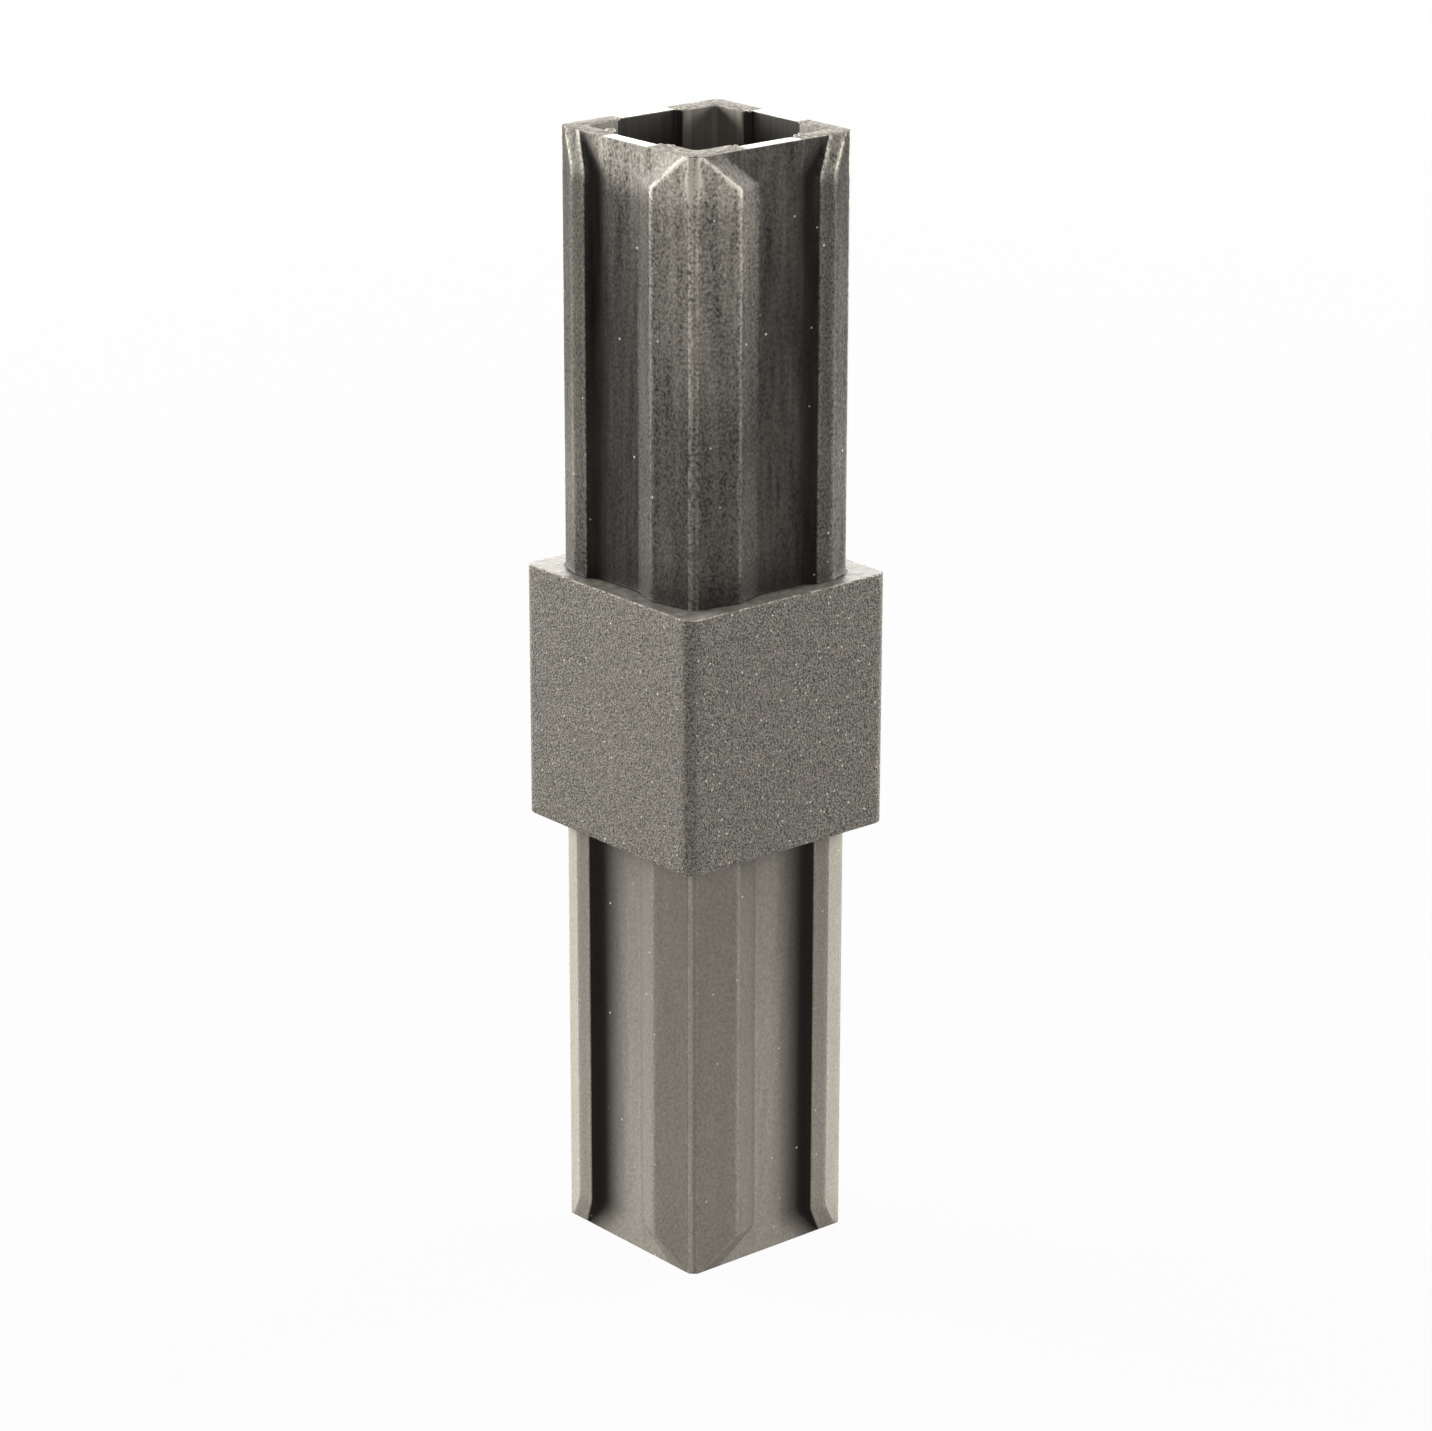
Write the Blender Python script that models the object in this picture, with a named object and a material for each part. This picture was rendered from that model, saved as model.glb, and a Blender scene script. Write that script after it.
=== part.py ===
"""Straight connector for square tube: one plastic moulding with a square collar and a ribbed hollow spigot at each end.

Metres, +Z up. The origin is the centre of the lower spigot's end, on which the part stands.
The part is the same above and below the middle of its collar.
"""

import math

import bmesh
import bpy

# The tube that both spigots enter
TUBE_SIDE = 0.025
TUBE_WALL = 0.0015
TUBE_CLEARANCE = 0.00014

# The collar between the two tubes
COLLAR_HEIGHT = 0.0255
COLLAR_CORNER_RADIUS = 0.0012
COLLAR_EDGE_ROUND = 0.00025

# The spigots and the ribs that bear on the inside of the tube
SPIGOT_LENGTH = 0.04325
RIB_HEIGHT = 0.00098
RIB_CREST_FROM_CORNER = 0.00508
CORNER_FLAT = 0.00087

# Ribs at the two corners of one diagonal: one slanting face, then a long gentle flank
BROAD_FLANK = 0.00275

# Ribs at the two corners of the other diagonal: a slope, a face parallel to the wall, then a steep flank
STEEP_CREASE_FROM_CORNER = 0.0032
STEEP_FLANK = 0.0009

# The free end of each spigot, where the ribs run out towards the corners
LEAD_IN = 0.0033
BROAD_CREST_AT_END = 0.00105
BROAD_BASE_AT_END = 0.0033
STEEP_CREASE_AT_END = 0.00105
STEEP_CREST_AT_END = 0.0031
STEEP_BASE_AT_END = 0.0034

# The hollow inside each spigot, and the web that closes it in the collar
BROAD_CORNER_WALL = 0.00235
BROAD_CORNER_WIDTH = 0.0063
STEEP_CORNER_WALL = 0.0019
STEEP_CORNER_WIDTH = 0.0057
MIDDLE_WALL = 0.00145
STEP_SLOPE = 0.0003
CORE_CORNER_RADIUS = 0.0007
CORE_DRAFT = 0.00015
WEB = 0.003

ARC_STEPS = 4
ROOT_OVERLAP = 0.001
CORE_OVERRUN = 0.002

BROAD = "broad"
STEEP = "steep"

# Worked out from the sizes above
SPIGOT_HALF = TUBE_SIDE / 2 - TUBE_WALL - TUBE_CLEARANCE - RIB_HEIGHT
COLLAR_BOTTOM = SPIGOT_LENGTH
COLLAR_TOP = SPIGOT_LENGTH + COLLAR_HEIGHT
MIDDLE = SPIGOT_LENGTH + COLLAR_HEIGHT / 2
END = 2 * MIDDLE


def clear_scene():
    for obj in list(bpy.data.objects):
        bpy.data.objects.remove(obj, do_unlink=True)


def nylon():
    """Dark grey glass-filled nylon with a dry, dusty surface."""
    material = bpy.data.materials.new("dark_grey_nylon")
    material.use_nodes = True
    shader = material.node_tree.nodes["Principled BSDF"]
    shader.inputs["Base Color"].default_value = (0.105, 0.1, 0.09, 1.0)
    shader.inputs["Roughness"].default_value = 0.62
    shader.inputs["Metallic"].default_value = 0.0
    material.diffuse_color = (0.105, 0.1, 0.09, 1.0)
    return material


def rib_points(kind, at_end):
    """One rib's outline from the corner inwards: distance from the corner, height above the wall."""
    corner = (CORNER_FLAT, 0.0)
    if kind == BROAD and at_end:
        return [corner, (BROAD_CREST_AT_END, 0.0), (BROAD_BASE_AT_END, 0.0)]
    if kind == BROAD:
        base = RIB_CREST_FROM_CORNER + BROAD_FLANK
        return [corner, (RIB_CREST_FROM_CORNER, RIB_HEIGHT), (base, 0.0)]
    if at_end:
        return [
            corner,
            (STEEP_CREASE_AT_END, 0.0),
            (STEEP_CREST_AT_END, 0.0),
            (STEEP_BASE_AT_END, 0.0),
        ]
    base = RIB_CREST_FROM_CORNER + STEEP_FLANK
    return [
        corner,
        (STEEP_CREASE_FROM_CORNER, RIB_HEIGHT),
        (RIB_CREST_FROM_CORNER, RIB_HEIGHT),
        (base, 0.0),
    ]


def core_points(kind):
    """The hollow's outline from its rounded corner to the thin middle: distance from the corner, depth."""
    wall = BROAD_CORNER_WALL if kind == BROAD else STEEP_CORNER_WALL
    width = BROAD_CORNER_WIDTH if kind == BROAD else STEEP_CORNER_WIDTH
    points = []
    for step in range(ARC_STEPS + 1):
        angle = math.radians(45.0 * (1.0 - step / ARC_STEPS))
        along = wall + CORE_CORNER_RADIUS * (1.0 - math.sin(angle))
        depth = wall + CORE_CORNER_RADIUS * (1.0 - math.cos(angle))
        points.append((along, -depth))
    return points + [(width, -wall), (width + STEP_SLOPE, -MIDDLE_WALL)]


def square_outline(half, points_of):
    """A closed outline round the four faces. Each face runs from one corner kind to the other."""
    outline = []
    for quarter in range(4):
        first, last = (BROAD, STEEP) if quarter % 2 == 0 else (STEEP, BROAD)
        face = [(-half + along, -half - out) for along, out in points_of(first)]
        face += [(half - along, -half - out) for along, out in reversed(points_of(last))]
        turn = math.radians(90.0 * quarter)
        for x, y in face:
            point = (x * math.cos(turn) - y * math.sin(turn), x * math.sin(turn) + y * math.cos(turn))
            if not outline or math.dist(point, outline[-1]) > 1e-7:
                outline.append(point)
    if math.dist(outline[0], outline[-1]) < 1e-7:
        outline.pop()
    return outline


def ring(bm, outline, height):
    """A closed ring of edges at one height."""
    verts = [bm.verts.new((x, y, height)) for x, y in outline]
    return [bm.edges.new((verts[i - 1], verts[i])) for i in range(len(verts))]


def loft(name, stations):
    """A closed solid through the outlines, each given with its height."""
    bm = bmesh.new()
    rings = [ring(bm, outline, height) for outline, height in stations]
    for lower, upper in zip(rings, rings[1:]):
        bmesh.ops.bridge_loops(bm, edges=lower + upper)
    for end in (rings[0], rings[-1]):
        bmesh.ops.contextual_create(bm, geom=end)
    bmesh.ops.recalc_face_normals(bm, faces=bm.faces[:])
    mesh = bpy.data.meshes.new(name)
    bm.to_mesh(mesh)
    bm.free()
    return link(name, mesh)


def link(name, mesh):
    obj = bpy.data.objects.new(name, mesh)
    bpy.context.scene.collection.objects.link(obj)
    return obj


def spigot(name, root, start, end):
    """The ribbed outside of one spigot, from inside the collar to its free end."""
    full = square_outline(SPIGOT_HALF, lambda kind: rib_points(kind, at_end=False))
    tip = square_outline(SPIGOT_HALF, lambda kind: rib_points(kind, at_end=True))
    return loft(name, [(full, root), (full, start), (tip, end)])


def core(name, floor, mouth):
    """The hollow of one spigot, which narrows by the draft towards the web."""
    outline = square_outline(SPIGOT_HALF, core_points)
    shrink = 1.0 - CORE_DRAFT / (SPIGOT_HALF - MIDDLE_WALL)
    narrow = [(x * shrink, y * shrink) for x, y in outline]
    return loft(name, [(narrow, floor), (outline, mouth)])


def collar():
    """The square block, with rounded upright corners and a small round on its level edges."""
    bm = bmesh.new()
    bmesh.ops.create_cube(bm, size=1.0)
    bmesh.ops.scale(bm, vec=(TUBE_SIDE, TUBE_SIDE, COLLAR_HEIGHT), verts=bm.verts[:])
    bmesh.ops.translate(bm, vec=(0.0, 0.0, MIDDLE), verts=bm.verts[:])
    upright = [e for e in bm.edges if abs(e.verts[0].co.z - e.verts[1].co.z) > COLLAR_HEIGHT / 2]
    round_edges(bm, upright, COLLAR_CORNER_RADIUS, ARC_STEPS)
    level = [e for e in bm.edges if abs(e.verts[0].co.z - e.verts[1].co.z) < COLLAR_HEIGHT / 2]
    round_edges(bm, level, COLLAR_EDGE_ROUND, 2)
    mesh = bpy.data.meshes.new("tube_connector")
    bm.to_mesh(mesh)
    bm.free()
    return link("tube_connector", mesh)


def round_edges(bm, edges, radius, segments):
    bmesh.ops.bevel(
        bm,
        geom=edges,
        offset=radius,
        offset_type="OFFSET",
        affect="EDGES",
        segments=segments,
        profile=0.5,
        material=-1,
    )


def combine(body, tool, operation):
    """Joins or cuts the body with a hidden helper solid."""
    tool.hide_render = True
    tool.display_type = "WIRE"
    modifier = body.modifiers.new(tool.name, "BOOLEAN")
    modifier.operation = operation
    modifier.solver = "EXACT"
    modifier.object = tool


def build():
    clear_scene()
    body = collar()
    upper = spigot("upper_spigot_form", COLLAR_TOP - ROOT_OVERLAP, END - LEAD_IN, END)
    lower = spigot("lower_spigot_form", COLLAR_BOTTOM + ROOT_OVERLAP, LEAD_IN, 0.0)
    upper_core = core("upper_core", MIDDLE + WEB / 2, END + CORE_OVERRUN)
    lower_core = core("lower_core", MIDDLE - WEB / 2, -CORE_OVERRUN)
    combine(body, upper, "UNION")
    combine(body, lower, "UNION")
    combine(body, upper_core, "DIFFERENCE")
    combine(body, lower_core, "DIFFERENCE")
    body.data.materials.append(nylon())


build()
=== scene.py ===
import math

import bmesh
import bpy
from mathutils import Matrix, Vector, noise


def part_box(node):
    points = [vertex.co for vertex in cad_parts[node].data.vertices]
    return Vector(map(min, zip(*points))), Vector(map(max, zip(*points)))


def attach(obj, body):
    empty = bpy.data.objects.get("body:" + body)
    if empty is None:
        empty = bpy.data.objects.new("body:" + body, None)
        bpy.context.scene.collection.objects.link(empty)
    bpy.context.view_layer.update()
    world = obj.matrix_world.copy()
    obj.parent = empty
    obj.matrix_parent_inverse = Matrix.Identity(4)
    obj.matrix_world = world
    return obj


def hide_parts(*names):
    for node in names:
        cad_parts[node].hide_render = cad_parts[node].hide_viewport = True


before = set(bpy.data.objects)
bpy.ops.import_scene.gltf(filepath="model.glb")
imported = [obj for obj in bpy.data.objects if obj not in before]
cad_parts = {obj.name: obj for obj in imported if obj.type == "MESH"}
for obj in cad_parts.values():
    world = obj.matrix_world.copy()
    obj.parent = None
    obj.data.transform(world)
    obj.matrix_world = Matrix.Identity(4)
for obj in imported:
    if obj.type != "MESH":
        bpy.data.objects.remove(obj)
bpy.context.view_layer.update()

# The view and the table
# The connector stands upright on a plain white table, and the camera looks down on it from above its upper
# end. One upright corner points almost straight at the camera.
VIEW_TURN = math.radians(40.287)
VIEW_TILT = math.radians(18.861)
VIEW_ROLL = math.radians(0.114)
VIEW_DISTANCE = 0.44569
VIEW_HEIGHT = 0.05367
VIEW_SIDESTEP = 0.00105
LENS_MM = 114.64
SENSOR_MM = 36.0
NEAREST_SEEN = 0.01
TABLE_HALF = 3.0

# The table's paper is grey to the light, and to the camera it is this much of plain white
PAPER_GREY = 0.45
PAPER_GLOW = 0.96

look = Vector((
    math.sin(VIEW_TURN) * math.cos(VIEW_TILT),
    math.cos(VIEW_TURN) * math.cos(VIEW_TILT),
    -math.sin(VIEW_TILT),
))
to_right = look.cross(Vector((0.0, 0.0, 1.0))).normalized()
camera_data = bpy.data.cameras.new("camera")
camera_data.lens = LENS_MM
camera_data.sensor_width = SENSOR_MM
camera_data.clip_start = NEAREST_SEEN
camera = bpy.data.objects.new("camera", camera_data)
bpy.context.scene.collection.objects.link(camera)
place = Vector((0.0, 0.0, VIEW_HEIGHT)) + to_right * VIEW_SIDESTEP - look * VIEW_DISTANCE
aim = look.to_track_quat("-Z", "Y").to_matrix().to_4x4()
camera.matrix_world = Matrix.Translation(place) @ aim @ Matrix.Rotation(VIEW_ROLL, 4, "Z")
bpy.context.scene.camera = camera
bpy.context.scene.view_settings.view_transform = "Standard"

table_mesh = bpy.data.meshes.new("table")
bm = bmesh.new()
bmesh.ops.create_grid(bm, x_segments=1, y_segments=1, size=TABLE_HALF)
bm.to_mesh(table_mesh)
bm.free()
table = bpy.data.objects.new("table", table_mesh)
bpy.context.scene.collection.objects.link(table)
white = bpy.data.materials.new("white_paper")
white.use_nodes = True
nodes, links = white.node_tree.nodes, white.node_tree.links
nodes.clear()
paper = nodes.new("ShaderNodeBsdfDiffuse")
paper.inputs["Color"].default_value = (PAPER_GREY, PAPER_GREY, PAPER_GREY, 1.0)
glow = nodes.new("ShaderNodeEmission")
glow.inputs["Strength"].default_value = 1.0
seen = nodes.new("ShaderNodeLightPath")
share = nodes.new("ShaderNodeMath")
share.operation = "MULTIPLY"
share.inputs[1].default_value = PAPER_GLOW
blend_to_white = nodes.new("ShaderNodeMixShader")
surface = nodes.new("ShaderNodeOutputMaterial")
links.new(seen.outputs["Is Camera Ray"], share.inputs[0])
links.new(share.outputs[0], blend_to_white.inputs["Fac"])
links.new(paper.outputs[0], blend_to_white.inputs[1])
links.new(glow.outputs[0], blend_to_white.inputs[2])
links.new(blend_to_white.outputs[0], surface.inputs["Surface"])
table_mesh.materials.append(white)

# The light
# Soft panels stand at both sides and behind, and a weak one stands at the camera's side. So faces that turn
# away to a side are the light ones, and those that face the camera are dark.
LIGHTS = [
    # name, degrees from the camera's side round to its right, degrees up, distance, width, height, watts
    ("left_rear", -120.0, 15.0, 1.0, 0.5, 0.4, 14.0),
    ("left_side", -95.0, 15.0, 1.0, 0.3, 0.4, 4.5),
    ("right_side", 80.0, 15.0, 1.0, 0.4, 0.4, 3.6),
    ("right_rear", 120.0, 15.0, 1.0, 0.5, 0.4, 12.0),
    ("rear", 180.0, 17.0, 1.0, 0.6, 0.4, 5.0),
    ("front", 0.0, 20.0, 1.0, 0.5, 0.4, 1.5),
]
LIGHT_AIM = Vector((0.0, 0.0, 0.05))
LIGHT_COLOUR = (1.0, 0.98, 0.94)

# The room's own light is faint, and the camera sees plain white behind everything
ROOM_LIGHT = 0.04
BACKDROP = 1.0


def panel(name, turn, rise, distance, width, height, watts):
    data = bpy.data.lights.new(name, "AREA")
    data.shape = "RECTANGLE"
    data.size = width
    data.size_y = height
    data.energy = watts
    data.color = LIGHT_COLOUR
    lamp = bpy.data.objects.new(name, data)
    bpy.context.scene.collection.objects.link(lamp)
    away = Matrix.Rotation(math.radians(turn), 3, "Z") @ Vector((-look.x, -look.y, 0.0)).normalized()
    away = away * math.cos(math.radians(rise)) + Vector((0.0, 0.0, math.sin(math.radians(rise))))
    lamp.location = LIGHT_AIM + away * distance
    lamp.rotation_euler = (-away).to_track_quat("-Z", "Y").to_euler()


for light in LIGHTS:
    panel(*light)

world = bpy.data.worlds.new("studio")
bpy.context.scene.world = world
world.use_nodes = True
nodes, links = world.node_tree.nodes, world.node_tree.links
nodes.clear()
room = nodes.new("ShaderNodeBackground")
room.inputs["Color"].default_value = (1.0, 1.0, 1.0, 1.0)
room.inputs["Strength"].default_value = ROOM_LIGHT
backdrop = nodes.new("ShaderNodeBackground")
backdrop.inputs["Color"].default_value = (1.0, 1.0, 1.0, 1.0)
backdrop.inputs["Strength"].default_value = BACKDROP
seen = nodes.new("ShaderNodeLightPath")
choose = nodes.new("ShaderNodeMixShader")
surface = nodes.new("ShaderNodeOutputWorld")
links.new(seen.outputs["Is Camera Ray"], choose.inputs["Fac"])
links.new(room.outputs[0], choose.inputs[1])
links.new(backdrop.outputs[0], choose.inputs[2])
links.new(choose.outputs[0], surface.inputs["Surface"])

# The moulding
# One piece of dark grey glass-filled nylon, from a steel mould that opened along the connector's height. The
# collar has the coarse grain of a spark-eroded mould, and the spigots are marked by being drawn out of it.
low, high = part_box("tube_connector")
SIDE = high.x - low.x
HEIGHT = high.z - low.z
MIDDLE = low.z + HEIGHT / 2
COLLAR_HALF_HEIGHT = 0.01275
COLLAR_CORNER_RADIUS = 0.0012
SPIGOT_HALF = 0.00988

# The ribs' height, and their bends along a spigot and at its end as distances from the spigot's corner
BROAD = "broad"
STEEP = "steep"
RIB_HEIGHT = 0.00098
RIB_CREST = 0.00508
CORNER_FLAT = 0.0006
BROAD_BASE = 0.00783
STEEP_CREASE = 0.0032
STEEP_BASE = 0.00598
END_CREASE = 0.00105
BROAD_END_BASE = 0.0033
STEEP_END_CREST = 0.0031
STEEP_END_BASE = 0.0034

# The ribs run out over these lengths at the spigots' ends. The upper end lies a little below the full height,
# so that the flash that stands on it stays inside the part's size.
UPPER_LEAD_IN = 0.0035
LOWER_LEAD_IN = 0.0031
FLASH_HEIGHT = 0.00015
UPPER_END = HEIGHT / 2 - FLASH_HEIGHT
LOWER_END = HEIGHT / 2

# The hollow's walls are thick at the corners, to these widths, and thin in the middle
BROAD_WALL = 0.00235
BROAD_WALL_WIDTH = 0.0063
STEEP_WALL = 0.0019
STEEP_WALL_WIDTH = 0.0057
STEEP_WALL_MIDDLE = 0.004
THIN_WALL = 0.00145
WALL_STEP = 0.0003
HOLLOW_RADIUS = 0.0007
DRAFT = 0.00015
WEB = 0.003

# How far a bend's rounding reaches along the faces beside it
SHARP = 0.0001
SOFT = 0.0005
CREASE = 0.00025
CORNER = 0.00025
BLEND = 0.0005
FINE = 0.00005

# A round corner is two bends that reach this share of its radius, and a bend takes at most this share of the
# flat beside it
ARC_REACH = math.tan(math.radians(22.5))
MOST_OF_EDGE = 0.45

# Steps round a bend, and points in the flat after it and in the flat that lies across a corner
BEND_STEPS = 4
FLAT_STEPS = 6
CORNER_STEPS = 2

# The collar's flat sides have as many bends as the ribs, at these distances from the corner
SPARE_BENDS = {BROAD: (0.0064, 0.0099), STEEP: (0.004, 0.0064, 0.0088)}

full_ribs = {
    BROAD: [(CORNER_FLAT, 0.0, CORNER), (RIB_CREST, RIB_HEIGHT, SOFT), (BROAD_BASE, 0.0, BLEND)],
    STEEP: [
        (CORNER_FLAT, 0.0, CORNER),
        (STEEP_CREASE, RIB_HEIGHT, CREASE),
        (RIB_CREST, RIB_HEIGHT, SHARP),
        (STEEP_BASE, 0.0, SOFT),
    ],
}
ribs_at_end = {
    BROAD: [(CORNER_FLAT, 0.0, FINE), (END_CREASE, 0.0, FINE), (BROAD_END_BASE, 0.0, CREASE)],
    STEEP: [
        (CORNER_FLAT, 0.0, FINE),
        (END_CREASE, 0.0, FINE),
        (STEEP_END_CREST, 0.0, SHARP),
        (STEEP_END_BASE, 0.0, SHARP),
    ],
}


def ribs(broad_run_out, steep_run_out):
    """The ribs' bends: distance from the corner, height above the wall, rounding.

    They are full at 0 and have run out at 1, as at the spigot's end.
    """
    return {
        kind: [
            tuple(a + (b - a) * run_out for a, b in zip(full, end))
            for full, end in zip(full_ribs[kind], ribs_at_end[kind])
        ]
        for kind, run_out in ((BROAD, broad_run_out), (STEEP, steep_run_out))
    }


def plain_block(radius):
    """A plain rounded square with as many bends as the ribs have."""
    corner = (radius * (1.0 - ARC_REACH), 0.0, radius * ARC_REACH)
    return {
        kind: [corner] + [(distance, 0.0, BLEND) for distance in spare]
        for kind, spare in SPARE_BENDS.items()
    }


def hollow_bends():
    """The hollow's bends, measured like the ribs."""
    bends = {}
    for kind, wall, width in ((BROAD, BROAD_WALL, BROAD_WALL_WIDTH), (STEEP, STEEP_WALL, STEEP_WALL_WIDTH)):
        corner = wall + HOLLOW_RADIUS * (1.0 - ARC_REACH)
        bends[kind] = [(corner, -wall, HOLLOW_RADIUS * ARC_REACH)]
        if kind == STEEP:
            bends[kind].append((STEEP_WALL_MIDDLE, -wall, CREASE))
        bends[kind] += [(width, -wall, SHARP), (width + WALL_STEP, -THIN_WALL, SHARP)]
    return bends


def outline(half, bends):
    """The points of a closed outline round the four faces, with each bend rounded."""
    corners = []
    for quarter in range(4):
        first, last = (BROAD, STEEP) if quarter % 2 == 0 else (STEEP, BROAD)
        turn = Matrix.Rotation(math.radians(90.0 * quarter), 2)
        for along, out, reach in bends[first]:
            corners.append((turn @ Vector((along - half, -half - out)), reach, FLAT_STEPS))
        for along, out, reach in reversed(bends[last]):
            corners.append((turn @ Vector((half - along, -half - out)), reach, FLAT_STEPS))
        corners[-1] = (*corners[-1][:2], CORNER_STEPS)
    arcs = []
    for index, (here, reach, steps) in enumerate(corners):
        back = corners[index - 1][0] - here
        on = corners[(index + 1) % len(corners)][0] - here
        start = here + back.normalized() * min(reach, MOST_OF_EDGE * back.length)
        end = here + on.normalized() * min(reach, MOST_OF_EDGE * on.length)
        arc = []
        for step in range(BEND_STEPS + 1):
            t = step / BEND_STEPS
            arc.append(start.lerp(here, t).lerp(here.lerp(end, t), t))
        arcs.append((arc, steps))
    points = []
    for index, (arc, steps) in enumerate(arcs):
        points += arc
        following = arcs[(index + 1) % len(arcs)][0][0]
        points += [arc[-1].lerp(following, step / (steps + 1)) for step in range(1, steps + 1)]
    return points


# The finishes, in the order of the moulding's materials
GRAINED, LEDGE, DRAWN, HOLLOW, RIM = range(5)

# How far apart the courses of faces lie on the collar, the spigot and its lead-in, and how many courses the
# hollow has
COLLAR_COURSE = 0.00036
SPIGOT_COURSE = 0.0007
LEAD_COURSE = 0.00025
HOLLOW_COURSES = 24

# The small rounds and fillets of the level edges, and where on each curve its courses lie
EDGE_ROUND = 0.00018
EDGE_ANGLES = (30.0, 60.0, 90.0)
LIP_WIDTH = 0.00008
ROOT_FILLET = 0.00016
ROOT_CURVE = ((0.0, 1.0), (0.3, 0.3), (1.0, 0.0))
RIM_ROUND = 0.00006
RIM_ANGLES = (45.0, 90.0)
MOUTH_ROUND = (1.0, 0.5, 0.0)

# How gently the ribs bend over into the lead-in, as a share of its length
BROAD_BEND_OVER = 0.04
STEEP_BEND_OVER = 0.16


def eased(t, over):
    """Nearly straight from 0 to 1, with the bend at its start drawn out as a curve."""
    if t < -over:
        return 0.0
    if t < over:
        return (t + over) ** 2 / (4.0 * over)
    return t


def collar_courses():
    """From the middle of the collar's side, over its rounded edge, to the ledge."""
    half = SIDE / 2
    straight = COLLAR_HALF_HEIGHT - EDGE_ROUND
    count = round(straight / COLLAR_COURSE)
    stack = []
    for step in range(count + 1):
        stack.append((straight * step / count, outline(half, plain_block(COLLAR_CORNER_RADIUS)), GRAINED))
    for angle in EDGE_ANGLES:
        inset = EDGE_ROUND * (1.0 - math.cos(math.radians(angle)))
        height = COLLAR_HALF_HEIGHT - EDGE_ROUND * (1.0 - math.sin(math.radians(angle)))
        stack.append((height, outline(half - inset, plain_block(COLLAR_CORNER_RADIUS - inset)), GRAINED))
    inset = EDGE_ROUND + LIP_WIDTH
    ledge = outline(half - inset, plain_block(COLLAR_CORNER_RADIUS - inset))
    stack.append((COLLAR_HALF_HEIGHT, ledge, LEDGE))
    return stack


def spigot_courses(lead_in, end):
    """From the spigot's foot on the ledge, along the ribs and their lead-in, to the rim."""
    stack = []
    for height, wider in ROOT_CURVE:
        root = outline(SPIGOT_HALF + ROOT_FILLET * wider, ribs(0.0, 0.0))
        stack.append((COLLAR_HALF_HEIGHT + ROOT_FILLET * height, root, DRAWN if height else LEDGE))
    start = COLLAR_HALF_HEIGHT + ROOT_FILLET
    bend = end - lead_in * (1.0 + STEEP_BEND_OVER)
    count = round((bend - start) / SPIGOT_COURSE)
    for step in range(1, count + 1):
        height = start + (bend - start) * step / count
        stack.append((height, outline(SPIGOT_HALF, ribs(0.0, 0.0)), DRAWN))
    top = end - RIM_ROUND
    count = round((top - bend) / LEAD_COURSE)
    for step in range(1, count + 1):
        height = bend + (top - bend) * step / count
        run_out = 1.0 - (end - height) / lead_in
        bends = ribs(eased(run_out, BROAD_BEND_OVER), eased(run_out, STEEP_BEND_OVER))
        stack.append((height, outline(SPIGOT_HALF, bends), DRAWN))
    return stack


def rim_courses(end):
    """Over the rim's outer edge, across it and over the edge of the hollow's mouth."""
    stack = []
    for angle in RIM_ANGLES:
        inset = RIM_ROUND * (1.0 - math.cos(math.radians(angle)))
        height = end - RIM_ROUND * (1.0 - math.sin(math.radians(angle)))
        stack.append((height, outline(SPIGOT_HALF - inset, ribs(1.0, 1.0)), RIM))
    for share in MOUTH_ROUND:
        grow = 1.0 + RIM_ROUND * share / (SPIGOT_HALF - THIN_WALL)
        grown = [point * grow for point in outline(SPIGOT_HALF, hollow_bends())]
        stack.append((end - RIM_ROUND * (1.0 - share) ** 2, grown, RIM))
    return stack


def hollow_courses(end):
    """Down the hollow, which narrows by the draft, to the web."""
    stack = []
    for step in range(1, HOLLOW_COURSES + 1):
        share = step / HOLLOW_COURSES
        height = (end - RIM_ROUND) * (1.0 - share) + WEB / 2 * share
        shrink = 1.0 - share * DRAFT / (SPIGOT_HALF - THIN_WALL)
        narrow = [point * shrink for point in outline(SPIGOT_HALF, hollow_bends())]
        stack.append((height, narrow, HOLLOW))
    return stack


def courses(lead_in, end):
    """Half the moulding, from the collar's middle to the web.

    Each course is its height from the middle, its outline and the finish of the faces that lead to it.
    """
    return collar_courses() + spigot_courses(lead_in, end) + rim_courses(end) + hollow_courses(end)


def first_course(bm, points, height):
    """The closed ring of edges that the surface starts from."""
    verts = [bm.verts.new((point.x, point.y, height)) for point in points]
    for index, vert in enumerate(verts):
        bm.edges.new((verts[index - 1], vert))
    return verts


def next_course(bm, verts, points, height, finish):
    """Extrudes the last ring of edges and moves the new one to its own outline."""
    edges = [bm.edges.get((verts[index - 1], vert)) for index, vert in enumerate(verts)]
    order = {vert: index for index, vert in enumerate(verts)}
    made = bmesh.ops.extrude_edge_only(bm, edges=edges)["geom"]
    raised = list(verts)
    for vert in (item for item in made if isinstance(item, bmesh.types.BMVert)):
        below = next(other for edge in vert.link_edges if (other := edge.other_vert(vert)) in order)
        point = points[order[below]]
        vert.co = (point.x, point.y, height)
        raised[order[below]] = vert
    for index, vert in enumerate(raised):
        bm.edges.get((raised[index - 1], vert)).link_faces[0].material_index = finish
    return raised


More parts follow.
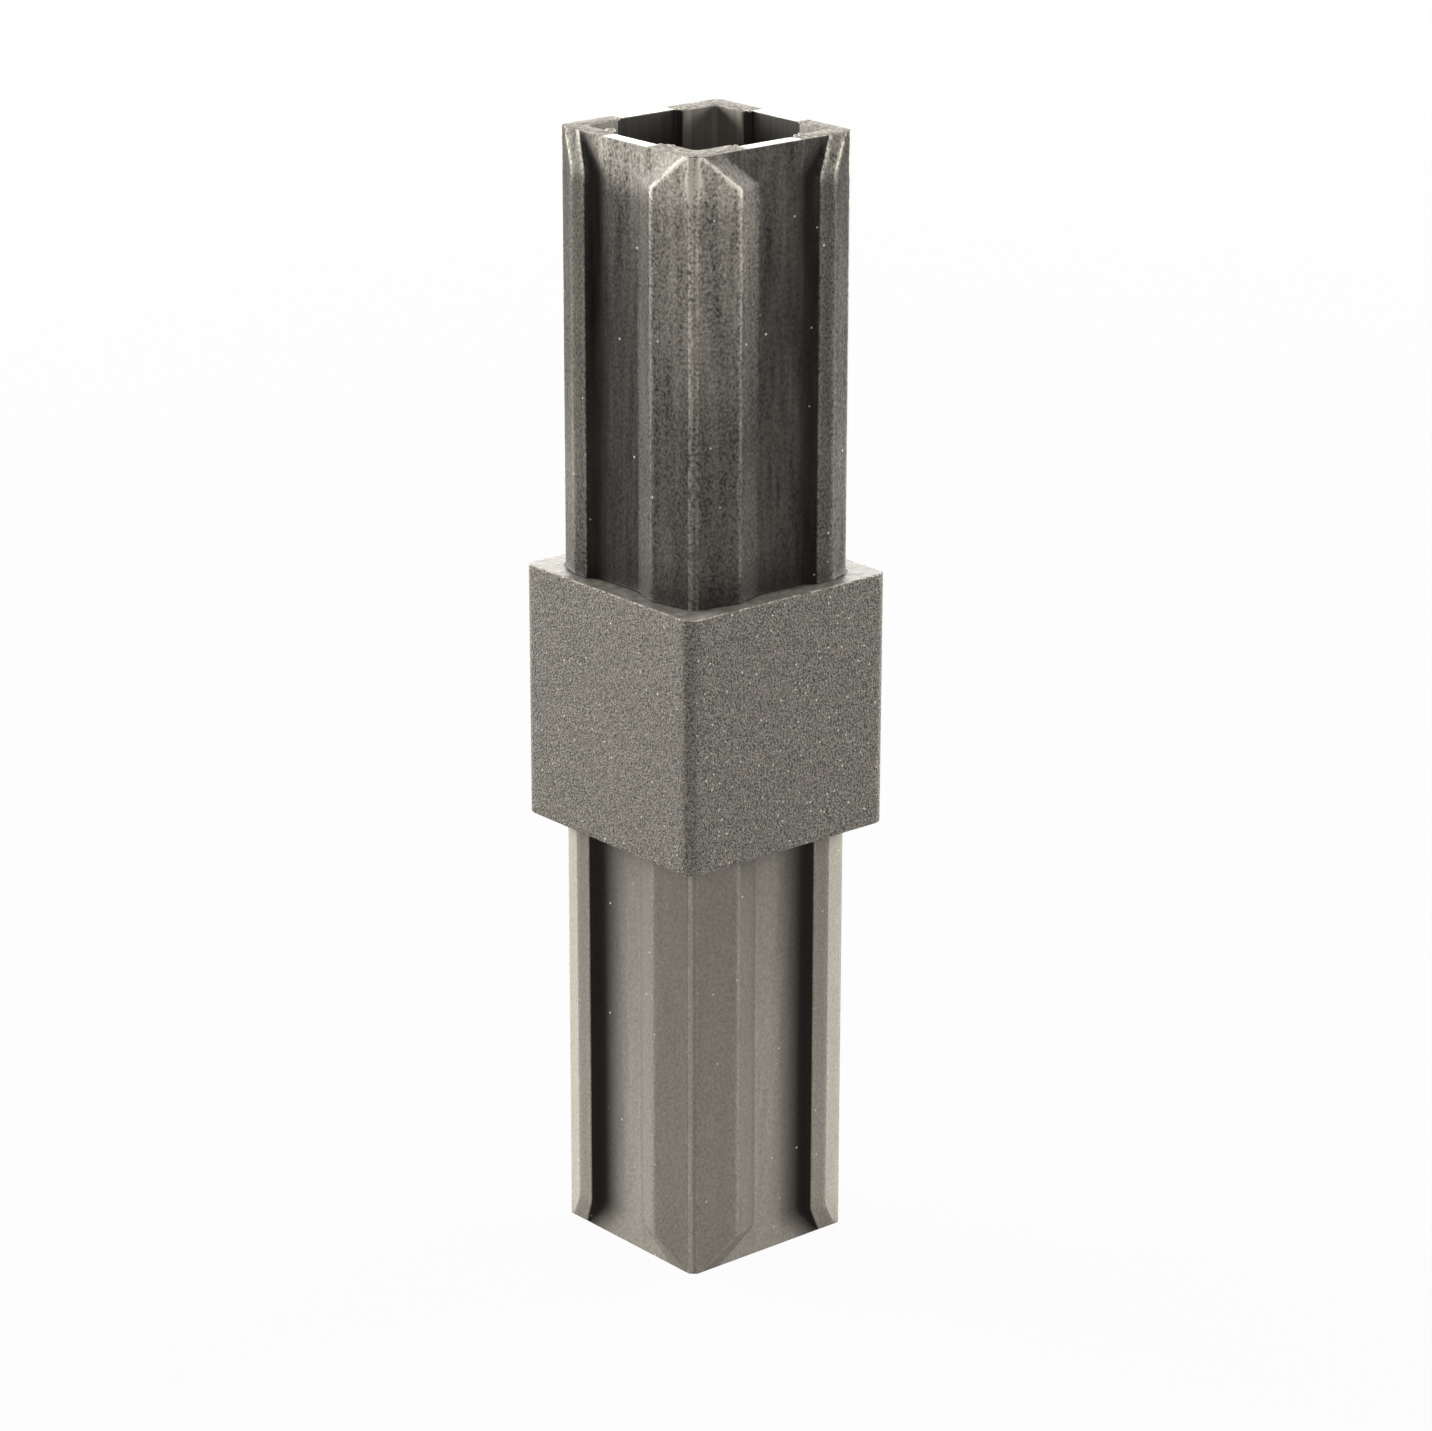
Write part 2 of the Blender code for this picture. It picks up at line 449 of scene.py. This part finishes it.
bm = bmesh.new()
upper = courses(UPPER_LEAD_IN, UPPER_END)
lower = courses(LOWER_LEAD_IN, LOWER_END)
middle_course = first_course(bm, upper[0][1], MIDDLE)
for sign, half_stack in ((1.0, upper[1:]), (-1.0, lower[1:])):
    verts = middle_course
    for height, points, finish in half_stack:
        verts = next_course(bm, verts, points, MIDDLE + sign * height, finish)
    last_edges = [bm.edges.get((verts[index - 1], vert)) for index, vert in enumerate(verts)]
    web = bmesh.ops.contextual_create(bm, geom=last_edges)
    web["faces"][0].material_index = HOLLOW
bmesh.ops.recalc_face_normals(bm, faces=bm.faces[:])

# The steep flanks and the wall at their feet are out of the light, and so is the foot of each spigot
X_LEE_FULL = 0.0003
Y_LEE_FULL = 0.0
UPPER_LEE_REACH = 0.0013
LOWER_LEE_REACH = 0.0036
ROOT_SHADE = 0.85
ROOT_SHADE_HEIGHT = 1.5 * ROOT_FILLET

# Bends that stand out are lighter to this distance from the bend, partly worn and partly a painted highlight
RUB_AND_HIGHLIGHT_REACH = 0.0005
CORNER_RUB_AND_HIGHLIGHT_REACH = 0.00035

# What stands out further than this from the spigot's wall is the collar
COLLAR_STEP = 1.5 * RIB_HEIGHT

# The burr is a thin line on the collar's rounded edge, which carries a painted highlight
BURR_HALF_HEIGHT = 0.3 * EDGE_ROUND
BURR_WIDTH = 1.1 * EDGE_ROUND


def within(distance, reach):
    """1 at a distance of 0 or less, and 0 from the reach on."""
    return min(max(1.0 - distance / reach, 0.0), 1.0)


# The materials read these marks: which part of the moulding a point lies on, its wear and painted highlight,
# and how shaded it is
rib = bm.verts.layers.float.new("rib")
pad = bm.verts.layers.float.new("pad")
slope = bm.verts.layers.float.new("slope")
face_strip = bm.verts.layers.float.new("face_strip")
corner = bm.verts.layers.float.new("corner")
rub_and_highlight = bm.verts.layers.float.new("rub_and_highlight")
lee = bm.verts.layers.float.new("lee")
y_side = bm.verts.layers.float.new("y_side")
back = bm.verts.layers.float.new("back")
thick = bm.verts.layers.float.new("thick")
flash = bm.verts.layers.float.new("flash")
burr = bm.verts.layers.float.new("burr")
for vert in bm.verts:
    x, y, z = vert.co
    side, along = (x, y) if abs(x) > abs(y) else (y, x)
    proud = abs(side) - SPIGOT_HALF
    from_broad = SPIGOT_HALF - along * math.copysign(1.0, side)
    from_steep = 2 * SPIGOT_HALF - from_broad
    from_collar_side = abs(z - MIDDLE) - COLLAR_HALF_HEIGHT
    end, lead_in = (UPPER_END, UPPER_LEAD_IN) if z > MIDDLE else (LOWER_END, LOWER_LEAD_IN)
    run_out = 1.0 - (end - abs(z - MIDDLE)) / lead_in
    bends = ribs(eased(run_out, BROAD_BEND_OVER), eased(run_out, STEEP_BEND_OVER))
    broad_crest, broad_base = [distance for distance, _, _ in bends[BROAD][1:]]
    steep_crease, steep_crest, steep_base = [distance for distance, _, _ in bends[STEEP][1:]]
    vert[rib] = 1.0 if from_broad < broad_base + FINE or from_steep < steep_crest + FINE else 0.0
    vert[pad] = 1.0 if from_broad < broad_crest + FINE else 0.0
    vert[slope] = 1.0 if from_steep < steep_crease - FINE else 0.0
    vert[face_strip] = 1.0 if steep_crease - FINE <= from_steep < steep_crest + FINE else 0.0
    vert[corner] = 1.0 if min(from_broad, from_steep) < CORNER_FLAT + FINE else 0.0
    steep_distance = min(abs(from_steep - steep_crest), abs(from_steep - steep_crease))
    bend_distance = min(abs(from_broad - broad_crest), steep_distance)
    corner_distance = abs(min(from_broad, from_steep) - CORNER_FLAT)
    vert[rub_and_highlight] = max(within(bend_distance, RUB_AND_HIGHLIGHT_REACH), within(corner_distance, CORNER_RUB_AND_HIGHLIGHT_REACH))
    vert[y_side] = 1.0 if abs(y) > abs(x) else 0.0
    vert[back] = 1.0 if side > 0.0 else 0.0
    if from_steep > steep_crest + FINE:
        full = Y_LEE_FULL if vert[y_side] else X_LEE_FULL
        reach = UPPER_LEE_REACH if z > MIDDLE else LOWER_LEE_REACH
        vert[lee] = within(from_steep - steep_base - full, reach)
    if from_collar_side < ROOT_SHADE_HEIGHT:
        vert[lee] = max(vert[lee], ROOT_SHADE)
    if proud > COLLAR_STEP:
        vert[lee] = 0.0
        vert[rub_and_highlight] = within(SIDE / 2 - abs(along), COLLAR_CORNER_RADIUS)
    in_thick_wall = from_broad < BROAD_WALL_WIDTH + FINE or from_steep < STEEP_WALL_WIDTH + FINE
    vert[thick] = 1.0 if in_thick_wall else 0.0
    corner_x, corner_y = [max(abs(v) - SIDE / 2 + COLLAR_CORNER_RADIUS, 0.0) for v in (x, y)]
    inset = COLLAR_CORNER_RADIUS - math.hypot(corner_x, corner_y)
    if abs(from_collar_side) < BURR_HALF_HEIGHT and inset < BURR_WIDTH:
        vert[burr] = 1.0

# Flash is plastic that crept out of the mould's joint: flat lumps of it on the upper rim's inner edge, near
# where the wall grows thin, and one thin curl. The seed keeps the lumps' dents the same in every run.
LUMP_FLATNESS = 0.6
LUMP_DENT = 0.00007
DENTS_PER_METRE = 6000.0
DENT_SEED = 1
LUMPS = [
    # x, y, radius
    (-0.0083, -0.0034, 0.00028),
    (-0.0034, -0.0083, 0.00026),
    (0.004, -0.0083, 0.0003),
    (0.0083, 0.0034, 0.00028),
    (0.0034, 0.0083, 0.00024),
    (-0.004, 0.0083, 0.00028),
    (0.0083, -0.004, 0.00024),
    (-0.0078, -0.0046, 0.0002),
    (0.0048, -0.0079, 0.0002),
    (-0.0083, 0.0038, 0.0002),
]
CURL_RADIUS = 0.00042
CURL_THICKNESS = 0.00013
CURL_PLACE = Vector((-0.00775, 0.0046, high.z - CURL_THICKNESS))
CURL_TURN = math.radians(300.0)
CURL_SIDES = 8
CURL_STEPS = 14
plain_faces = len(bm.faces)
noise.seed_set(DENT_SEED)
for x, y, radius in LUMPS:
    place = Matrix.Translation((x, y, high.z - LUMP_FLATNESS * radius))
    flatten = Matrix.Diagonal((1.0, 1.0, LUMP_FLATNESS, 1.0))
    lump = bmesh.ops.create_icosphere(bm, subdivisions=2, radius=radius, matrix=place @ flatten)
    for vert in lump["verts"]:
        dent = noise.noise_vector(vert.co * DENTS_PER_METRE) * LUMP_DENT
        vert.co += Vector((dent.x, dent.y, -abs(dent.z) * LUMP_FLATNESS))
upright = Matrix.Rotation(math.radians(90.0), 4, "X")
start = Matrix.Translation(CURL_PLACE + Vector((CURL_RADIUS, 0.0, 0.0)))
curl_end = bmesh.ops.create_circle(
    bm, cap_ends=True, segments=CURL_SIDES, radius=CURL_THICKNESS, matrix=start @ upright
)["verts"]
curl_face = curl_end[0].link_faces[0]
bmesh.ops.spin(
    bm,
    geom=curl_end + list(curl_face.edges) + [curl_face],
    cent=CURL_PLACE,
    axis=(0.0, 0.0, 1.0),
    angle=CURL_TURN,
    steps=CURL_STEPS,
)
bm.faces.ensure_lookup_table()
for face in bm.faces[plain_faces:]:
    face.material_index = RIM
    for vert in face.verts:
        vert[flash] = 1.0
bmesh.ops.recalc_face_normals(bm, faces=bm.faces[plain_faces:])
for face in bm.faces:
    face.smooth = True

# Edges that turn by more than this look sharp
SHARP_TURN = math.radians(35.0)
mesh = bpy.data.meshes.new("connector_moulding")
bm.to_mesh(mesh)
bm.free()
mesh.set_sharp_from_angle(angle=SHARP_TURN)
moulding = bpy.data.objects.new("connector_moulding", mesh)
bpy.context.scene.collection.objects.link(moulding)
crisp = moulding.modifiers.new("flat_faces", "WEIGHTED_NORMAL")
crisp.keep_sharp = True

# The colours are one warm grey at several levels: level 1 would be white
WARM_GREY = (1.0, 0.945, 0.84)
SHEEN_TINT = (1.0, 0.96, 0.88)
COLLAR_LEVEL = 0.178
# The burr line is painted near white: a painted highlight
BURR_AND_HIGHLIGHT_LEVEL = 0.85
LEDGE_LEVEL = 0.28
# The hollow is painted dark as shade, and its thick corner panels are painted light
HOLLOW_LEVEL = 0.045
THICK_LEVEL = 0.24
# The rim is painted light, its strips too: a painted sheen of the light from behind glancing off it
RIM_LEVEL = 0.45
RIM_STRIP_LEVEL = 0.5
FLASH_LEVEL = 0.85
DUST_LEVEL = 0.7
LEE_LEVEL = 0.026
LIGHTEST = 0.85

# The two back sides stand in about twice the light, so they are darker by this much to look like the front
BACK_GAIN = 0.46

# Level against height up the connector, from 0 to 1. It holds painted light and shade: the lower spigot is
# lighter
# than the upper, the upper darker at its foot, and each face at its own lit level. The walls and flanks
# differ between the X and Y sides by painted light.
X_WALL_LEVELS = [
    (0.0, 0.34),
    (0.06, 0.34),
    (0.3, 0.26),
    (0.38, 0.21),
    (0.614, 0.017),
    (0.655, 0.03),
    (0.842, 0.034),
    (0.888, 0.048),
    (0.95, 0.09),
    (0.975, 0.3),
    (1.0, 0.32),
]
Y_WALL_LEVELS = [
    (0.0, 0.36),
    (0.2, 0.34),
    (0.3, 0.3),
    (0.38, 0.245),
    (0.614, 0.022),
    (0.655, 0.049),
    (0.78, 0.058),
    (0.842, 0.046),
    (0.888, 0.052),
    (0.934, 0.07),
    (1.0, 0.08),
]
X_FLANK_LEVELS = [
    (0.0, 0.25),
    (0.06, 0.25),
    (0.2, 0.22),
    (0.38, 0.175),
    (0.614, 0.03),
    (0.655, 0.077),
    (0.84, 0.074),
    (0.888, 0.06),
    (0.95, 0.08),
    (0.972, 0.2),
    (1.0, 0.34),
]
Y_FLANK_LEVELS = [
    (0.0, 0.23),
    (0.06, 0.23),
    (0.2, 0.205),
    (0.38, 0.17),
    (0.614, 0.022),
    (0.655, 0.07),
    (0.75, 0.058),
    (0.842, 0.085),
    (0.934, 0.15),
    (0.965, 0.13),
    (1.0, 0.13),
]
PAD_LEVELS = [
    (0.0, 0.29),
    (0.06, 0.29),
    (0.38, 0.25),
    (0.614, 0.03),
    (0.655, 0.09),
    (0.76, 0.11),
    (0.87, 0.195),
    (0.945, 0.24),
    (0.97, 0.38),
    (1.0, 0.4),
]
# Painted light: the pads on the Y sides are lighter than those on the X sides
X_PAD_GAIN = 0.93
Y_PAD_GAIN = 1.03
SLOPE_LEVELS = [
    (0.0, 0.42),
    (0.06, 0.42),
    (0.2, 0.41),
    (0.38, 0.37),
    (0.614, 0.1),
    (0.7, 0.115),
    (0.84, 0.09),
    (0.934, 0.065),
    (1.0, 0.065),
]
RIB_FACE_LEVELS = [
    (0.0, 0.3),
    (0.06, 0.3),
    (0.2, 0.27),
    (0.38, 0.22),
    (0.614, 0.05),
    (0.645, 0.09),
    (0.96, 0.085),
    (0.975, 0.2),
    (1.0, 0.22),
]
CORNER_LEVELS = [(0.0, 0.34), (0.38, 0.32), (0.614, 0.12), (0.76, 0.2), (0.9, 0.32), (1.0, 0.36)]
# Painted light: the corner flats on the X sides are lighter than those on the Y sides
X_CORNER_GAIN = 1.5

# How strongly the drawn streaks and the wear with its painted highlight show, against height. Both are faint
# on the lower spigot.
STREAK_LEVELS = [(0.0, 0.12), (0.4, 0.12), (0.6, 1.0), (1.0, 1.0)]
RUB_AND_HIGHLIGHT_LEVELS = [(0.0, 0.06), (0.4, 0.06), (0.6, 0.2), (0.955, 0.25), (0.967, 1.0), (1.0, 1.0)]
RUB_AND_HIGHLIGHT_GAIN = 3.0

# Nearly all of a noise texture lies between these two values
NOISE_LOW = 0.3
NOISE_HIGH = 0.7

# A speck of dust is at its full level out to this share of its reach
SPECK_CORE = 0.6


def add_node(tree, kind, inputs, **settings):
    """Adds a shader node. Each input is a plain value or the output that feeds it."""
    node = tree.nodes.new(kind)
    for name, value in settings.items():
        setattr(node, name, value)
    for key, value in inputs.items():
        if isinstance(value, bpy.types.NodeSocket):
            tree.links.new(value, node.inputs[key])
        else:
            node.inputs[key].default_value = value
    return node


def worked(tree, operation, first, second=0.0):
    """The result of one sum."""
    return add_node(tree, "ShaderNodeMath", {0: first, 1: second}, operation=operation).outputs[0]


def times(tree, first, second):
    return worked(tree, "MULTIPLY", first, second)


def plus(tree, first, second):
    return worked(tree, "ADD", first, second)


def at_least(tree, value, least):
    return worked(tree, "MAXIMUM", value, least)


def at_most(tree, value, most):
    return worked(tree, "MINIMUM", value, most)


def uneven(tree, pattern, strength):
    """A gain that wavers about 1 with the pattern."""
    return plus(tree, times(tree, pattern, strength), 1.0)


def marked(tree, layer):
    """How far the surface here belongs to one of the mesh's marked regions."""
    return add_node(tree, "ShaderNodeAttribute", {}, attribute_name=layer).outputs["Fac"]


def grain(tree, place, scale, detail=2.0, stretch=1.0):
    """Noise from -1 to 1. A stretch below 1 draws it out along the connector's height."""
    if stretch != 1.0:
        drawn_out = {"Vector": place, "Scale": (1.0, 1.0, stretch)}
        place = add_node(tree, "ShaderNodeMapping", drawn_out).outputs[0]
    texture = {"Vector": place, "Scale": scale, "Detail": detail}
    cloud = add_node(tree, "ShaderNodeTexNoise", texture).outputs[0]
    span = {"Value": cloud, "From Min": NOISE_LOW, "From Max": NOISE_HIGH, "To Min": -1.0, "To Max": 1.0}
    return add_node(tree, "ShaderNodeMapRange", span, clamp=False).outputs[0]


def specks(tree, place, cell, reach, share):
    """Dust: a share of the cells holds one speck each, which reaches so far from its centre."""
    dust = add_node(tree, "ShaderNodeTexVoronoi", {"Vector": place, "Scale": 1.0 / cell})
    span = {
        "Value": dust.outputs["Distance"],
        "From Min": reach / cell,
        "From Max": SPECK_CORE * reach / cell,
    }
    near = add_node(tree, "ShaderNodeMapRange", span).outputs[0]
    chosen = worked(tree, "LESS_THAN", dust.outputs["Color"], share)
    return times(tree, near, chosen)


def stops(tree, value, levels):
    """A level that follows the value through a list of (value, level)."""
    node = add_node(tree, "ShaderNodeValToRGB", {"Fac": value})
    ramp = node.color_ramp
    for index, (at, level) in enumerate(levels):
        stop = ramp.elements[index] if index < 2 else ramp.elements.new(at)
        stop.position = at
        stop.color = (level, level, level, 1.0)
    return node.outputs[0]


def blended(tree, share, first, second):
    """The first level where the share is 0, and the second where it is 1."""
    inputs = {"Factor": share, "A": first, "B": second}
    return add_node(tree, "ShaderNodeMix", inputs, data_type="FLOAT").outputs[0]


def new_nylon(name):
    """A new material with its node tree and the place on the connector that its patterns read."""
    material = bpy.data.materials.new(name)
    material.use_nodes = True
    tree = material.node_tree
    place = add_node(tree, "ShaderNodeTexCoord", {}).outputs["Object"]
    return material, tree, place


def dress(tree, level, roughness, relief, depth, gloss=0.5):
    """Gives the surface its grey level, roughness, relief and gloss."""
    shader = tree.nodes["Principled BSDF"]
    shader.inputs["Specular IOR Level"].default_value = gloss
    shader.inputs["Specular Tint"].default_value = (*SHEEN_TINT, 1.0)
    colour = {0: WARM_GREY, "Scale": level}
    grey = add_node(tree, "ShaderNodeVectorMath", colour, operation="SCALE").outputs[0]
    bumps = {"Height": relief, "Distance": depth, "Strength": 1.0}
    normal = add_node(tree, "ShaderNodeBump", bumps).outputs[0]
    tree.links.new(grey, shader.inputs["Base Color"])
    tree.links.new(normal, shader.inputs["Normal"])
    if isinstance(roughness, bpy.types.NodeSocket):
        tree.links.new(roughness, shader.inputs["Roughness"])
    else:
        shader.inputs["Roughness"].default_value = roughness


def darker_behind(tree, level):
    """The level on the two front sides, and a darker one on the two back sides."""
    return times(tree, level, blended(tree, marked(tree, "back"), 1.0, BACK_GAIN))


# How strongly the collar's grain, the wear and painted highlight on its corners and the gaps in the burr show
COARSE_GRAIN = 0.6
FINE_GRAIN = 0.5
FINE_GRAIN_RELIEF = 0.35
DARKEST_GRAIN = 0.25
COLLAR_WEAR_AND_HIGHLIGHT = 0.8
BURR_WHOLENESS = 0.5


def grained_nylon():
    """Spark-eroded grain with light specks in it, corners lighter by wear and painted highlight, and a broken
    line of burr at its edges, painted near white as a highlight.
    """
    material, tree, place = new_nylon("grained_nylon")
    coarse = grain(tree, place, scale=4500.0)
    fine = grain(tree, place, scale=9000.0)
    marks = plus(tree, times(tree, coarse, COARSE_GRAIN), times(tree, fine, FINE_GRAIN))
    marks = at_least(tree, plus(tree, marks, 1.0), DARKEST_GRAIN)
    # The upright corners are lighter, partly by wear and partly as a painted highlight
    level = times(tree, COLLAR_LEVEL, uneven(tree, marked(tree, "rub_and_highlight"), COLLAR_WEAR_AND_HIGHLIGHT))
    broken = at_least(tree, plus(tree, grain(tree, place, scale=1500.0), BURR_WHOLENESS), 0.0)
    lip = at_most(tree, times(tree, marked(tree, "burr"), broken), 1.0)
    level = times(tree, marks, blended(tree, lip, level, BURR_AND_HIGHLIGHT_LEVEL))
    level = darker_behind(tree, at_most(tree, level, LIGHTEST))
    level = blended(tree, specks(tree, place, cell=0.0009, reach=0.00013, share=0.3), level, DUST_LEVEL)
    relief = plus(tree, coarse, times(tree, fine, FINE_GRAIN_RELIEF))
    dress(tree, level, roughness=0.6, relief=relief, depth=0.000024, gloss=0.3)
    return material


# How strongly the scuffs on the ledge show, and how steeply it darkens towards the spigot
SCUFFS = 0.4
DARKEST_SCUFF = 0.3
LEDGE_SHADE_POWER = 4.0


def ledge_nylon():
    """The flat ledge round each spigot's foot, polished by the mould, so light from behind glances off it."""
    material, tree, place = new_nylon("ledge_nylon")
    scuffs = grain(tree, place, scale=900.0, detail=4.0)
    marks = at_least(tree, uneven(tree, scuffs, SCUFFS), DARKEST_SCUFF)
    shade = worked(tree, "POWER", marked(tree, "lee"), LEDGE_SHADE_POWER)
    level = blended(tree, shade, LEDGE_LEVEL, LEE_LEVEL)
    level = times(tree, marks, blended(tree, marked(tree, "burr"), level, BURR_AND_HIGHLIGHT_LEVEL))
    level = at_most(tree, level, LIGHTEST)
    dress(tree, level, roughness=0.4, relief=scuffs, depth=0.000015, gloss=0.4)
    return material


# How strongly the marks on the spigots show
WALL_STREAKS = 0.4
RIB_STREAKS = 0.15
BANDS = 0.25
CLOUDS = 0.2
X_WALL_GRIT = 0.6
Y_WALL_GRIT = 0.4
RIB_GRIT = 0.6
LEE_GRIT = 0.15
LOWER_GRIT = 0.1
RUB_AND_HIGHLIGHT_BASE = 0.8
RUB_AND_HIGHLIGHT_GRIT = 0.5
RUB_AND_HIGHLIGHT_BREAKS = 0.6
DARKEST_MARK = 0.15
STREAK_RELIEF = 0.4


def spigot_level(tree, height):
    """The level of the walls and of each face of the ribs, with their painted light and shade."""
    on_y_side = marked(tree, "y_side")
    wall = blended(tree, on_y_side, stops(tree, height, X_WALL_LEVELS), stops(tree, height, Y_WALL_LEVELS))
    wall = blended(tree, marked(tree, "lee"), wall, LEE_LEVEL)
    level = blended(tree, on_y_side, stops(tree, height, X_FLANK_LEVELS), stops(tree, height, Y_FLANK_LEVELS))
    pads = times(tree, stops(tree, height, PAD_LEVELS), blended(tree, on_y_side, X_PAD_GAIN, Y_PAD_GAIN))
    level = blended(tree, marked(tree, "pad"), level, pads)
    level = blended(tree, marked(tree, "slope"), level, stops(tree, height, SLOPE_LEVELS))
    level = blended(tree, marked(tree, "face_strip"), level, stops(tree, height, RIB_FACE_LEVELS))
    level = blended(tree, marked(tree, "rib"), wall, level)
    corners = times(tree, stops(tree, height, CORNER_LEVELS), blended(tree, on_y_side, X_CORNER_GAIN, 1.0))
    return blended(tree, marked(tree, "corner"), level, corners)


def drawn_nylon():
    """Marks drawn up and down by the mould, lighter on the ribs' bends by wear and painted highlight, and
    dust.
    """
    material, tree, place = new_nylon("drawn_nylon")
    height = add_node(tree, "ShaderNodeSeparateXYZ", {"Vector": place}).outputs["Z"]
    height = worked(tree, "DIVIDE", height, HEIGHT)
    on_rib = marked(tree, "rib")
    streaks = grain(tree, place, scale=1400.0, detail=3.0, stretch=0.08)
    bands = grain(tree, place, scale=600.0, stretch=0.1)
    clouds = grain(tree, place, scale=160.0, detail=3.0, stretch=0.5)
    fine = grain(tree, place, scale=3600.0, stretch=0.9)
    broken = grain(tree, place, scale=1200.0, detail=3.0, stretch=0.4)
    marks = times(tree, streaks, blended(tree, on_rib, WALL_STREAKS, RIB_STREAKS))
    marks = plus(tree, marks, times(tree, bands, BANDS))
    marks = plus(tree, marks, times(tree, clouds, CLOUDS))
    marks = times(tree, marks, stops(tree, height, STREAK_LEVELS))
    gritty = blended(tree, marked(tree, "y_side"), X_WALL_GRIT, Y_WALL_GRIT)
    gritty = blended(tree, marked(tree, "lee"), gritty, LEE_GRIT)
    gritty = blended(tree, on_rib, gritty, RIB_GRIT)
    grit = times(tree, fine, blended(tree, stops(tree, height, STREAK_LEVELS), LOWER_GRIT, gritty))
    # A painted highlight along the ribs' bends and corners, together with the wear there
    rubbed_and_lit = plus(tree, times(tree, fine, RUB_AND_HIGHLIGHT_GRIT), times(tree, broken, RUB_AND_HIGHLIGHT_BREAKS))
    rubbed_and_lit = at_least(tree, plus(tree, rubbed_and_lit, RUB_AND_HIGHLIGHT_BASE), 0.0)
    rubbed_and_lit = times(tree, rubbed_and_lit, times(tree, stops(tree, height, RUB_AND_HIGHLIGHT_LEVELS), RUB_AND_HIGHLIGHT_GAIN))
    rubbed_and_lit = times(tree, rubbed_and_lit, marked(tree, "rub_and_highlight"))
    marks = plus(tree, plus(tree, marks, grit), plus(tree, rubbed_and_lit, 1.0))
    level = times(tree, spigot_level(tree, height), at_least(tree, marks, DARKEST_MARK))
    level = darker_behind(tree, at_most(tree, level, LIGHTEST))
    level = blended(tree, specks(tree, place, cell=0.0022, reach=0.00014, share=0.6), level, DUST_LEVEL)
    relief = plus(tree, fine, times(tree, streaks, STREAK_RELIEF))
    dress(tree, level, roughness=0.52, relief=relief, depth=0.000008, gloss=0.12)
    return material


# How strongly the streaks that the core drew show in the hollow
HOLLOW_STREAKS = 0.3


def hollow_nylon():
    """The inside, out of the light and drawn by the core: painted shade on its thin walls and painted light
    on its thick corner panels.
    """
    material, tree, place = new_nylon("hollow_nylon")
    streaks = grain(tree, place, scale=1400.0, detail=3.0, stretch=0.03)
    level = blended(tree, marked(tree, "thick"), HOLLOW_LEVEL, THICK_LEVEL)
    level = times(tree, uneven(tree, streaks, HOLLOW_STREAKS), level)
    dress(tree, level, roughness=0.5, relief=streaks, depth=0.000008, gloss=0.25)
    return material


# The rim's smooth strips reach this far to each side of their middle, with ragged ends, between rough corners
RIM_STRIP_HALF = 0.0032
RIM_STRIP_RAGGED = 0.00015
RIM_STRIP_ROUGHNESS = 0.25
RIM_ROUGHNESS = 0.75
RIM_PITS = 0.6
DARKEST_PIT = 0.05


def rim_nylon():
    """The end face, painted light as a sheen: smooth strips along the thin walls, rough corners, and the
    flash that stands on it.
    """
    material, tree, place = new_nylon("rim_nylon")
    rough = grain(tree, place, scale=3000.0)
    axes = add_node(tree, "ShaderNodeSeparateXYZ", {"Vector": place})
    from_x_axis = worked(tree, "ABSOLUTE", axes.outputs["Y"])
    from_y_axis = worked(tree, "ABSOLUTE", axes.outputs["X"])
    from_middle = at_most(tree, from_y_axis, from_x_axis)
    ragged = plus(tree, from_middle, times(tree, rough, RIM_STRIP_RAGGED))
    polished = worked(tree, "LESS_THAN", ragged, RIM_STRIP_HALF)
    pitted = at_least(tree, times(tree, RIM_LEVEL, uneven(tree, rough, RIM_PITS)), DARKEST_PIT)
    level = blended(tree, polished, pitted, RIM_STRIP_LEVEL)
    level = blended(tree, marked(tree, "flash"), level, FLASH_LEVEL)
    roughness = blended(tree, polished, RIM_ROUGHNESS, RIM_STRIP_ROUGHNESS)
    dress(tree, level, roughness, relief=rough, depth=0.00002)
    return material


for finish in (grained_nylon, ledge_nylon, drawn_nylon, hollow_nylon, rim_nylon):
    mesh.materials.append(finish())
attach(moulding, "root")
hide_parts("tube_connector")
